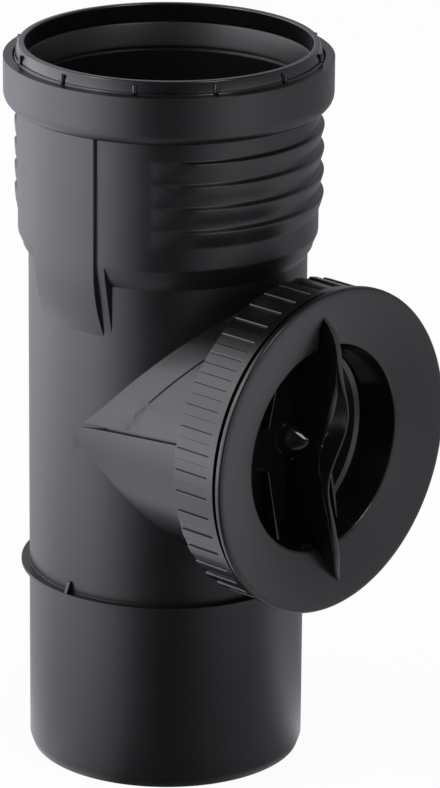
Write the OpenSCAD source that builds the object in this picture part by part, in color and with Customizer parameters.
// Inspection chamber: a moulded drain pipe fitting with a spigot at the bottom, a sealed
// socket at the top and a side branch that a screw cover closes.
// It stands on the end of its spigot. The pipe's axis is +Z, the branch points along +X,
// and the origin is on the pipe's axis at the spigot's end. All lengths are millimetres.

/* [Pipe] */
// Outside diameter of the pipe
pipe_d = 90; // [75:1:125]
// Wall thickness of the pipe
pipe_wall = 3.1; // [2:0.1:4]
// Length of the spigot below the insertion flange
spigot_len = 62.8; // [40:0.1:90]
// Length of the chamfer at the spigot's end
chamfer_len = 3.1; // [1:0.1:6]
// Depth of the chamfer at the spigot's end
chamfer_in = 1.05; // [0.4:0.05:1.6]
// Thickness of the insertion flange
flange_t = 1; // [0.6:0.1:3]
// How far the insertion flange stands out of the pipe
flange_out = 2.7; // [1:0.1:4]
// Height of the alignment mark on the insertion flange
mark_h = 3.5; // [1:0.1:8]
// Thickness of the alignment mark
mark_t = 1.2; // [0.8:0.1:3]
// Bare pipe between the insertion flange and the branch
below_branch = 10.7; // [6:0.1:40]
// Bare pipe between the branch and the socket
above_branch = 6; // [4:0.1:40]

/* [Socket] */
// Radial play between an inserted pipe and the socket
socket_play = 0.4; // [0.2:0.05:0.8]
// Wall thickness of the socket
socket_wall = 2.95; // [2:0.05:4]
// Height of the stepped taper from the pipe to the socket
taper_h = 7.1; // [4:0.1:15]
// Height from the taper to the crest of the lowest rib
rib_first = 13.6; // [8:0.1:30]
// Height from one rib's crest to the next
rib_pitch = 7.5; // [6:0.1:12]
// Number of ribs
rib_n = 4; // [1:1:8]
// How far a rib's crest stands out of the socket
rib_out = 1.55; // [0.5:0.05:3]
// Half of the angle round the label panel that the ribs leave bare
rib_gap = 37; // [30:1:60]
// Height from the top rib's crest to the flare of the collar
rib_last = 3; // [2.5:0.1:10]
// Height of the flare under the collar
flare_h = 5.5; // [3:0.1:10]
// Height of the collar above its flare
collar_h = 14.6; // [13:0.1:25]
// Wall thickness of the collar round the seal
collar_wall = 3; // [2:0.1:5]
// How deep the seal groove is cut behind the socket's bore
groove_in = 4.5; // [3:0.1:6]
// Height of the seal groove below the collar's top
groove_h = 11.9; // [10:0.1:14]

/* [Label panel] */
// Width of the label panel
panel_w = 26.4; // [16:0.1:40]
// How far the label panel stands out of the socket
panel_out = 1.25; // [0.5:0.05:1.5]
// Height of the panel's slope, from the pipe to the start of the socket
panel_slope = 15.5; // [10:0.1:20]
// Width of the fin at each side of the panel
fin_w = 2.6; // [1:0.1:5]

/* [Branch] */
// How much smaller than the pipe the branch's radius is
neck_in = 1.15; // [0.8:0.05:2]
// How far the lower mould half stands proud of the upper half
parting_step = 0.5; // [0.2:0.05:0.8]
// Height of the parting line above the branch's axis, at the pipe
parting_z = 2.2; // [0:0.1:4]
// Rise of the parting line along the branch, in degrees
parting_rise = 5.2; // [0:0.1:8]
// Width of the groove along the parting line
parting_gap = 0.55; // [0.3:0.05:1]
// Depth of the groove along the parting line
parting_depth = 0.65; // [0.3:0.05:1]
// Length of the thinner saddle before the neck thickens again
saddle_len = 13.5; // [8:0.5:18]
// Length of the bare neck between the pipe and the cover
neck_show = 7; // [5:0.1:30]
// Wall thickness of the branch
neck_wall = 2.85; // [2:0.05:4]
// How far the mouth's thread core stands out of the neck
mouth_out = 2.15; // [1.5:0.05:3]

/* [Cover] */
// Radial room for the thread between the mouth and the cover's skirt
thread_room = 2.6; // [1.5:0.1:4]
// Thickness of the cover's skirt
skirt_t = 2.9; // [2:0.1:5]
// Length of the cover's skirt
skirt_len = 17; // [15:0.1:30]
// Number of grip ridges round the skirt
ridge_n = 46; // [24:1:60]
// Height of a grip ridge
ridge_h = 0.8; // [0.3:0.05:1.5]
// Length of the smooth strip between the ridges and the rim
strip_len = 2.6; // [1:0.1:6]
// Width of the groove behind the rim
rim_groove = 1.1; // [0.4:0.1:2]
// Depth of the groove behind the rim
groove_depth = 1.5; // [0.4:0.1:2]
// How far the rim stands out of the ridges
rim_out = 1; // [0.5:0.1:4]
// Radius of the rim's rounded edge
rim_round = 2.4; // [1:0.1:3]
// Width of the dished face between the rim's edge and the recess
face_w = 17.2; // [10:0.1:20]
// Depth of the dish from the rim to the recess
dish = 4; // [1:0.1:5]
// Thickness of the face at the recess
face_t = 2.7; // [2:0.1:4]
// Depth of the recess below its edge
recess_depth = 13.8; // [8:0.1:15]
// Draft of the recess's wall, from its edge to its floor
recess_draft = 2; // [0.5:0.1:4]
// Wall thickness of the recess
cup_wall = 2.4; // [1.5:0.1:4]
// Radius of the pointed boss on the recess's floor
boss_r = 6.4; // [3:0.1:10]
// Height of the pointed boss
boss_h = 6.5; // [3:0.1:10]

/* [Grip] */
// Height of the grip's edge above the recess's edge
grip_rise = 5.8; // [3:0.1:8]
// Thickness of the grip's bar
bar_t = 2.6; // [1.8:0.1:4]
// Thickness of the grip's bar at its middle
waist_t = 1.4; // [1.2:0.1:2]
// Sideways swing of the bar, one way above the middle and the other way below
bar_swing = 1.4; // [0:0.1:3]
// Depth of the blade at the middle of the grip
blade_mid = 6.8; // [4:0.1:9]
// Depth of the blade at the ends of the grip
blade_end = 0.4; // [0.2:0.1:3]
// Sideways swing of the blade's two lobes
lobe = 4.4; // [0:0.1:6]
// Distance of each lobe's peak from the middle
lobe_at = 11.2; // [8:0.1:14]
// Sideways sweep of the grip's tips
tip_sweep = 5.5; // [0:0.1:8]
// Radius of the gate mark on the grip's saddle
gate_r = 0.9; // [0.5:0.1:1.5]
// Distance of the stiffening ribs from the middle of the recess
stiffener_at = 14; // [10:0.5:20]
// Thickness of a stiffening rib
stiffener_t = 1.2; // [0.8:0.1:2]
// Depth of the pocket beside each tip of the grip, at the recess's wall
pocket_depth = 8; // [5:0.1:10]
// Length of that pocket from the recess's wall towards the rim
pocket_len = 10.5; // [8:0.1:14]
// Thickness of the wall behind a pocket
pocket_wall = 1.9; // [1.2:0.1:3]

/* [Seals] */
// Play between a seal or ring and the wall round it
seal_play = 0.3; // [0.2:0.05:0.5]
// Height of the socket seal
seal_h = 10; // [8:0.1:11]
// How far the retaining ring stands above the collar
ring_rise = 4.2; // [2:0.1:8]
// Radial room between an inserted pipe and the retaining ring
ring_room = 1; // [0.6:0.1:1.5]
// Number of nubs round the retaining ring
nub_n = 12; // [4:1:24]
// Radius of a nub
nub_r = 0.9; // [0.4:0.1:1.5]
// Thickness of the cover's gasket
gasket_t = 2.3; // [1:0.1:4]
// Gap between the gasket and each of its two seats
gasket_gap = 0.1; // [0.05:0.05:0.3]

/* [Hidden] */
$fn = 96;

plastic = [0.13, 0.13, 0.14];
rubber = [0.07, 0.07, 0.07];

// Radii of the pipe and the socket
pipe_r = pipe_d / 2;
bore_r = pipe_r - pipe_wall;
socket_bore_r = pipe_r + socket_play;
socket_r = socket_bore_r + socket_wall;
groove_r = socket_bore_r + groove_in;
collar_r = groove_r + collar_wall;

// Radii of the branch and its mouth
neck_r = pipe_r - neck_in;
low_neck_r = neck_r + parting_step;
neck_bore_r = neck_r - neck_wall;
mouth_r = neck_r + mouth_out;

// Heights above the spigot's end
flange_top = spigot_len + flange_t;
branch_z = flange_top + below_branch + low_neck_r;
taper_z = branch_z + neck_r + above_branch;
socket_z = taper_z + taper_h;
rib_z = socket_z + rib_first;
flare_z = rib_z + (rib_n - 1) * rib_pitch + rib_last;
collar_z = flare_z + flare_h;
collar_top = collar_z + collar_h;
groove_z = collar_top - groove_h;
ring_z = groove_z + seal_h;
ring_top = collar_top + ring_rise;

// Sizes of the cover, and places along the branch from the pipe's axis
skirt_bore_r = mouth_r + thread_room;
skirt_r = skirt_bore_r + skirt_t;
ridge_r = skirt_r + ridge_h;
rim_r = ridge_r + rim_out;
recess_r = rim_r - rim_round - face_w;
floor_r = recess_r - recess_draft;
cover_x = pipe_r + neck_show;
rim_edge = 0.5;
rim_x = cover_x + skirt_len + rim_groove;
front_x = rim_x + rim_round + rim_edge;
recess_x = front_x - dish;
floor_x = recess_x - recess_depth;
under_x = recess_x - face_t;
mouth_x = under_x - gasket_t - 2 * gasket_gap;
mouth_edge = 0.6;
grip_x = recess_x + grip_rise;
grip_half = rim_r - rim_round - 4.3;

// Points along an arc, as [radius, height] pairs for a turned profile
function arc(cr, cz, r, from, to, steps) =
    [for (i = [0:steps]) let (a = from + (to - from) * i / steps) [cr + r * cos(a), cz + r * sin(a)]];

// Turns a profile of [radius, height] points round the branch's axis, heights along +X
module turned_on_branch(points) {
    along_branch() rotate_extrude($fn = 144) polygon(points);
}

// Puts +Z of its children along the branch, at the height of its axis
module along_branch() {
    translate([0, 0, branch_z]) rotate([0, 90, 0]) children();
}

// Outside of the pipe, from the spigot's chamfer to the top of the collar
module pipe_outside() {
    out = socket_r - pipe_r;
    flare = collar_r - socket_r;
    edge = 0.6;
    rotate_extrude($fn = 144) polygon([
        [0, 0],
        [pipe_r - chamfer_in, 0],
        [pipe_r, chamfer_len],
        [pipe_r, spigot_len],
        [pipe_r + flange_out, spigot_len],
        [pipe_r + flange_out, flange_top],
        [pipe_r, flange_top],
        [pipe_r, taper_z],
        [pipe_r + 0.36 * out, taper_z + 0.32 * taper_h],
        [pipe_r + 0.45 * out, taper_z + 0.52 * taper_h],
        [pipe_r + 0.93 * out, socket_z],
        [socket_r, socket_z + 1.2],
        [socket_r, flare_z],
        [socket_r + 0.4 * flare, flare_z + 0.25 * flare_h],
        [socket_r + 0.64 * flare, flare_z + 0.45 * flare_h],
        [socket_r + 0.84 * flare, flare_z + 0.75 * flare_h],
        [collar_r, collar_z],
        [collar_r, collar_top - edge],
        [collar_r - edge, collar_top],
        [0, collar_top]
    ]);
}

// One saw-tooth rib: a gentle slope below the crest and a steep ledge above it
module rib_ring(crest_z) {
    root = socket_r - 0.5;
    translate([0, 0, crest_z]) rotate_extrude($fn = 144) polygon([
        [root, -4.4],
        [socket_r, -4.2],
        [socket_r + 0.5 * rib_out, -2],
        [socket_r + 0.92 * rib_out, -0.5],
        [socket_r + rib_out, 0],
        [socket_r + 0.8 * rib_out, 0.45],
        [socket_r + 0.1 * rib_out, 1.1],
        [root, 1.3]
    ]);
}

// All ribs, cut back by an offset cylinder so that they fade out beside the label panel
module ribs() {
    shift = 8.3;
    fade_r = sqrt(socket_r * socket_r + shift * shift + 2 * socket_r * shift * cos(rib_gap));
    intersection() {
        for (i = [0:rib_n - 1]) rib_ring(rib_z + i * rib_pitch);
        translate([0, shift, rib_z - rib_pitch]) cylinder(r = fade_r, h = (rib_n + 1) * rib_pitch);
    }
}

// A strip on the -Y side, centred on x, that follows a turned profile of the given radius
module side_strip(x, width, strip_r, slope_top, slope_bottom) {
    corner = min(2, 0.4 * width);
    intersection() {
        rotate_extrude($fn = 144) polygon([
            [pipe_r - 1, slope_bottom - 4],
            [pipe_r - 0.1, slope_bottom],
            [strip_r, slope_top],
            [strip_r, flare_z + 0.4 * flare_h],
            [pipe_r - 1, flare_z + 0.4 * flare_h]
        ]);
        translate([x, 0, slope_bottom]) rotate([90, 0, 0]) linear_extrude(collar_r) {
            translate([-width / 2, corner]) square([width, collar_z - slope_bottom - corner]);
            translate([corner - width / 2, 0]) square([width - 2 * corner, 2 * corner]);
            translate([corner - width / 2, corner]) circle(corner);
            translate([width / 2 - corner, corner]) circle(corner);
        }
    }
}

// Label panel with a fin at each side, all sloping down onto the pipe
module label_panel() {
    bottom = taper_z - panel_slope;
    fin_at = (panel_w + fin_w) / 2;
    side_strip(0, panel_w, socket_r + panel_out, taper_z + 1.5, bottom);
    for (side = [-1, 1])
        side_strip(side * (fin_at - 0.5), fin_w + 1, socket_r - 0.05, socket_z, bottom + 1);
}

// Triangular alignment mark on the insertion flange, at angle a
module flange_mark(a) {
    rotate([0, 0, a]) translate([pipe_r - 0.5, mark_t / 2, flange_top]) rotate([90, 0, 0])
        linear_extrude(mark_t)
            polygon([[0, -0.2], [flange_out + 0.5, -0.2], [0.7, mark_h], [0, mark_h]]);
}

// Solid of the branch: a prouder lower half, and an upper half and a thickened neck with the
// groove of the parting line between
module neck_solid() {
    far = mouth_x - 10;
    nose_r = pipe_r + 0.15;
    intersection() {
        turned_on_branch([
            [0, -2],
            [nose_r - 2, -2],
            [nose_r, 1.4],
            [(nose_r + low_neck_r) / 2, 7.5],
            [low_neck_r + 0.06, 16],
            [low_neck_r, 24],
            [low_neck_r, far],
            [0, far]
        ]);
        parting_slab(-2 * pipe_d, 0);
    }
    difference() {
        union() {
            turned_on_branch([
                [0, 0],
                [pipe_r - 0.28, 0],
                [pipe_r - 0.34, 5.5],
                [pipe_r - 0.6, 9],
                [neck_r + 0.06, 16],
                [neck_r, 24],
                [neck_r, far],
                [0, far]
            ]);
            difference() {
                turned_on_branch([[0, saddle_len], [neck_r + 0.35, saddle_len], [neck_r + 0.35, far], [0, far]]);
                translate([saddle_len, 0, branch_z - pipe_d]) cylinder(r = pipe_r, h = 2 * pipe_d, $fn = 144);
            }
        }
        difference() {
            parting_slab(0, parting_gap);
            along_branch() cylinder(r = neck_r - parting_depth, h = far);
        }
    }
    turned_on_branch([
        [0, far - 2],
        [mouth_r - 1, far - 2],
        [mouth_r, far - 1],
        [mouth_r, mouth_x - mouth_edge],
        [mouth_r - mouth_edge, mouth_x],
        [0, mouth_x]
    ]);
}

// Layer of space along the branch's parting line, from one height above it to another
module parting_slab(low, high) {
    translate([0, 0, branch_z + parting_z]) rotate([0, -parting_rise, 0])
        translate([-10, -pipe_d, low]) cube([2 * pipe_d, 2 * pipe_d, high - low]);
}

// One moulding: spigot, barrel, branch, ribbed socket and collar, with all its bores
module pipe_body() {
    color(plastic) difference() {
        union() {
            pipe_outside();
            ribs();
            label_panel();
            for (a = [-90, 90]) flange_mark(a);
            neck_solid();
        }
        translate([0, 0, -1]) cylinder(r = bore_r, h = socket_z + 2);
        translate([0, 0, socket_z]) cylinder(r = socket_bore_r, h = collar_top);
        translate([0, 0, groove_z]) cylinder(r = groove_r, h = collar_top);
        along_branch() cylinder(r = neck_bore_r, h = mouth_x + 1);
    }
}

// Lip seal in the collar's groove, its lip laid back as an inserted pipe leaves it
module socket_seal() {
    out_r = groove_r - seal_play;
    lip_r = socket_bore_r + 0.2;
    color(rubber) translate([0, 0, groove_z]) rotate_extrude($fn = 144) polygon([
        [out_r, 0],
        [out_r, seal_h],
        [lip_r + 0.9, seal_h],
        [lip_r + 0.7, seal_h - 0.6],
        [lip_r, 2.6],
        [lip_r + 0.5, 2.2],
        [lip_r + 1.2, 3.4],
        [lip_r + 1.2, 0]
    ]);
}

// Retaining ring on top of the seal, with a bevelled face and small nubs round it
module seal_ring() {
    in_r = pipe_r + ring_room;
    foot_r = groove_r - seal_play;
    face_r = foot_r - 0.6;
    color(plastic) {
        rotate_extrude($fn = 144) polygon([
            [in_r + 0.3, ring_z],
            [foot_r, ring_z],
            [foot_r, collar_top - 0.4],
            [face_r, collar_top + 0.2],
            [face_r, collar_top + 0.35 * ring_rise],
            [face_r - 0.8, ring_top - 0.4],
            [face_r - 1.1, ring_top],
            [in_r + 0.3, ring_top],
            [in_r, ring_top - 0.3],
            [in_r, ring_z + 0.3]
        ]);
        for (i = [0:nub_n - 1]) rotate([0, 0, 1 + i * 360 / nub_n])
            translate([face_r, 0, collar_top + 0.4]) cylinder(r = nub_r, h = 0.66 * ring_rise, $fn = 24);
    }
}

// Turned body of the cover: skirt, rim, dished face and recess
module cover_shell() {
    face_r = rim_r - rim_round;
    cup_r = recess_r + cup_wall;
    turned_on_branch(concat(
        [[skirt_bore_r, cover_x], [skirt_r, cover_x], [skirt_r, rim_x - rim_groove - strip_len],
         [ridge_r, rim_x - rim_groove - strip_len], [ridge_r, rim_x - rim_groove],
         [ridge_r - groove_depth, rim_x - rim_groove], [ridge_r - groove_depth, rim_x],
         [rim_r - 0.3, rim_x], [rim_r, rim_x + rim_edge]],
        arc(face_r, rim_x + rim_edge, rim_round, 15, 90, 5),
        [[face_r - 0.28 * face_w, front_x - 0.26 * dish],
         [face_r - 0.62 * face_w, front_x - 0.6 * dish],
         [recess_r + 0.9, recess_x + 0.12]],
        arc(recess_r + 0.8, recess_x - 0.8, 0.8, 90, 180, 3),
        [[floor_r + 0.3, floor_x + 2.5], [floor_r - 0.5, floor_x + 0.8], [floor_r - 2, floor_x],
         [boss_r + 1.9, floor_x], [boss_r + 1.6, floor_x - 0.4], [0, floor_x - 0.4],
         [0, floor_x - cup_wall], [floor_r + cup_wall - 2, floor_x - cup_wall],
         [floor_r + cup_wall, floor_x - cup_wall + 2], [cup_r, under_x - 1], [cup_r + 1, under_x],
         [skirt_bore_r - 0.6, under_x], [skirt_bore_r, under_x - 0.6]]));
}

// Half-pitch-wide ridges round the skirt, which end in the smooth strip
module grip_ridges() {
    pitch = 360 / ridge_n;
    width = PI * ridge_r / ridge_n;
    lead = 0.4;
    root = 1;
    below_strip = 0.1;
    along_branch() for (i = [0:ridge_n - 1]) rotate([0, 0, (i + 0.39) * pitch])
        translate([skirt_r - root, -width / 2, cover_x + lead])
            cube([root + ridge_h - below_strip, width, skirt_len - lead - strip_len / 2]);
}

// Pointed boss on the recess's floor
module boss() {
    turned_on_branch([
        [0, floor_x - 1],
        [boss_r, floor_x - 1],
        [boss_r, floor_x],
        [0.86 * boss_r, floor_x + 0.35 * boss_h],
        [0.55 * boss_r, floor_x + 0.68 * boss_h],
        [0.12 * boss_r, floor_x + 0.97 * boss_h],
        [0, floor_x + boss_h]
    ]);
}

// Sideways swing of the blade's front edge from the bar, at distance t from the middle
function blade_swing(t) = lobe * (t / lobe_at) * exp((1 - pow(t / lobe_at, 2)) / 2);

// Sideways bend of the whole bar, which shows only near its tips
function bar_bend(t) = -tip_sweep * pow(t / grip_half, 7);

// Depth of the blade, which dips to a saddle at the middle
function blade_depth(t) = blade_end + (blade_mid - blade_end) * exp(-pow(t / 18, 2));

// Front edge of the grip along the branch: level over the recess, sinking into the face at its tips
function grip_front(t) = grip_x - (grip_rise - 2.4) * pow(tip_sink(t), 2);

// Floor of a pocket beside the grip's tips: it rises from the recess's wall to the face
function pocket_floor(t) =
    recess_x - pocket_depth + (pocket_depth + 2.4) * (abs(t) - recess_r) / pocket_len;

// One way above the middle and the other way below, fading out towards the tips
function grip_lean(t) = t / sqrt(t * t + 9) / (1 + pow(t / 31, 8));

// How far the grip has sunk towards the face at t, from 0 over the recess to 1 at a tip
function tip_sink(t) = max(0, (abs(t) - 0.72 * grip_half) / (0.28 * grip_half));

// Half the thickness of the bar at t: thin at its middle and pointed at its tips
function bar_half(t) =
    (bar_t - (bar_t - waist_t) * exp(-pow(t / 7, 2))) / 2 * (1 - 0.7 * pow(tip_sink(t), 2));

// Half the thickness of the blade at t, as a share of the bar's
function blade_share(t) = 0.42 + 0.3 * exp(-pow(t / 5, 2)) + 0.38 * (1 - exp(-pow(t / 24, 6)));

// Section of the grip at t: [sideways, along the branch] points up one side of the bar, along
// its flat top, round the curved blade that leans out from it, and down the other side
function grip_section(t) =
    let (
        lean = grip_lean(t),
        half = bar_half(t),
        blade = half * blade_share(t),
        bend = bar_bend(t),
        foot = bend + bar_swing * lean,
        base = foot + lean * (0.85 * half - blade),
        side = bend + blade_swing(t),
        knee = base + 0.35 * (side - base),
        middle = base + 0.72 * (side - base),
        front = grip_front(t),
        depth = blade_depth(t),
        root = front - depth,
        top = front - min(0.3, 0.3 * depth),
        shoulder = root - 0.3,
        buried = 0.8,
        bottom = abs(t) > recess_r ? min(recess_x, pocket_floor(t)) - buried : floor_x - 1
    )
    [[foot - half, bottom], [foot - half, shoulder], [foot - 0.88 * half, root], [base - blade, root + 0.01 * depth],
     [knee - blade, root + 0.12 * depth], [middle - blade, root + 0.5 * depth], [side - blade, top],
     [side - blade / 2, front], [side + blade / 2, front], [side + blade, top],
     [middle + blade, root + 0.5 * depth], [knee + blade, root + 0.12 * depth], [base + blade, root + 0.01 * depth],
     [foot + 0.88 * half, root], [foot + half, shoulder], [foot + half, bottom]];

// Turning grip: a bar up from the recess's floor with a curved blade on its edge, lofted
// through its sections from one tip to the other
module grip() {
    across = 34;
    beyond = 6;
    sides = 16;
    foot = floor_r + 0.6;
    lip = recess_r + 0.5;
    tip = [for (i = [0:beyond]) lip + (grip_half - lip) * i / beyond];
    places = concat(
        [for (i = [beyond:-1:0]) -tip[i]],
        [for (i = [0:across]) foot * (2 * i / across - 1)],
        tip);
    last = len(places) - 1;
    points = [for (t = places) for (p = grip_section(t)) [-t, p[0], p[1]]];
    walls = [for (i = [0:last - 1])
        for (j = [0:sides - 1])
            let (a = i * sides + j, b = i * sides + (j + 1) % sides)
            each [[a, b + sides, b], [a, a + sides, b + sides]]];
    first_end = [for (j = [0:sides - 1]) j];
    last_end = [for (j = [sides - 1:-1:0]) last * sides + j];
    along_branch() polyhedron(points, concat(walls, [first_end, last_end]));
}

// Both ends of the grip: the children, and once more turned half round the branch's axis
module at_both_tips() {
    for (turn = [0, 180]) along_branch() rotate([0, 0, turn]) children();
}

// A prism across the grip's tip from a profile of [distance from the middle, along the branch]
module across_tip(width, profile) {
    mirror([1, 0, 0]) rotate([90, 0, 0]) translate([0, 0, -width / 2])
        linear_extrude(width) polygon(profile);
}

// Tapered pockets round the grip's tips, open to the recess and rising to the face
module pockets() {
    inner = recess_r - 2;
    outer = recess_r + pocket_len + 2;
    at_both_tips() intersection() {
        across_tip(4 * pocket_len, [
            [inner, pocket_floor(inner)],
            [outer, pocket_floor(outer)],
            [outer, front_x + 1],
            [inner, front_x + 1]
        ]);
        translate([0, 0, floor_x]) linear_extrude(front_x) mirror([1, 0]) polygon([
            [inner, 3.6],
            [recess_r + 6.8, -1.3],
            [recess_r + 10.3, -4.2],
            [recess_r + 10.6, -5.2],
            [recess_r + 7.9, -5.7],
            [inner, -3.5]
        ]);
    }
}

// Walls behind the pockets, inside the bore of the branch
module pocket_backs() {
    inner = recess_r - 2;
    outer = neck_bore_r - 0.8;
    drop = 1.5 * pocket_wall;
    at_both_tips() intersection() {
        across_tip(16, [
            [inner, pocket_floor(inner) - drop],
            [outer + 1, pocket_floor(outer + 1) - drop],
            [outer + 1, under_x + 0.5],
            [inner, under_x + 0.5]
        ]);
        cylinder(r = outer, h = front_x);
    }
}

// Low ribs on the recess's floor beside the grip, rising towards the recess's wall
module stiffeners() {
    near = 7;
    far = 29;
    for (side = [-1, 1]) for (end = [0, 1])
        translate([0, side * stiffener_at, branch_z]) mirror([0, 0, end]) rotate([90, 0, 0])
            translate([0, 0, -stiffener_t / 2]) linear_extrude(stiffener_t) polygon([
                [floor_x - 1, near],
                [floor_x + 2.8, near],
                [floor_x + 7.3, far],
                [floor_x - 1, far]
            ]);
}

// Mark of the gate where the melt entered, on the grip's saddle
module gate_mark() {
    height = 1.6;
    along_branch() translate([0, 0, grip_x - blade_mid + 0.4 - height]) cylinder(r = gate_r, h = height, $fn = 24);
}

// Screw cover: one moulding with its skirt, rim, recess and turning grip
module access_cover() {
    color(plastic) union() {
        difference() {
            union() {
                cover_shell();
                pocket_backs();
            }
            pockets();
        }
        grip_ridges();
        stiffeners();
        boss();
        grip();
        gate_mark();
    }
}

// Flat gasket between the mouth of the branch and the cover
module cover_seal() {
    in_r = neck_bore_r + 0.4;
    out_r = mouth_r - mouth_edge;
    back_x = mouth_x + gasket_gap;
    color(rubber) along_branch() translate([0, 0, back_x]) difference() {
        cylinder(r = out_r, h = gasket_t, $fn = 144);
        translate([0, 0, -1]) cylinder(r = in_r, h = gasket_t + 2, $fn = 144);
    }
}

pipe_body();
socket_seal();
seal_ring();
access_cover();
cover_seal();
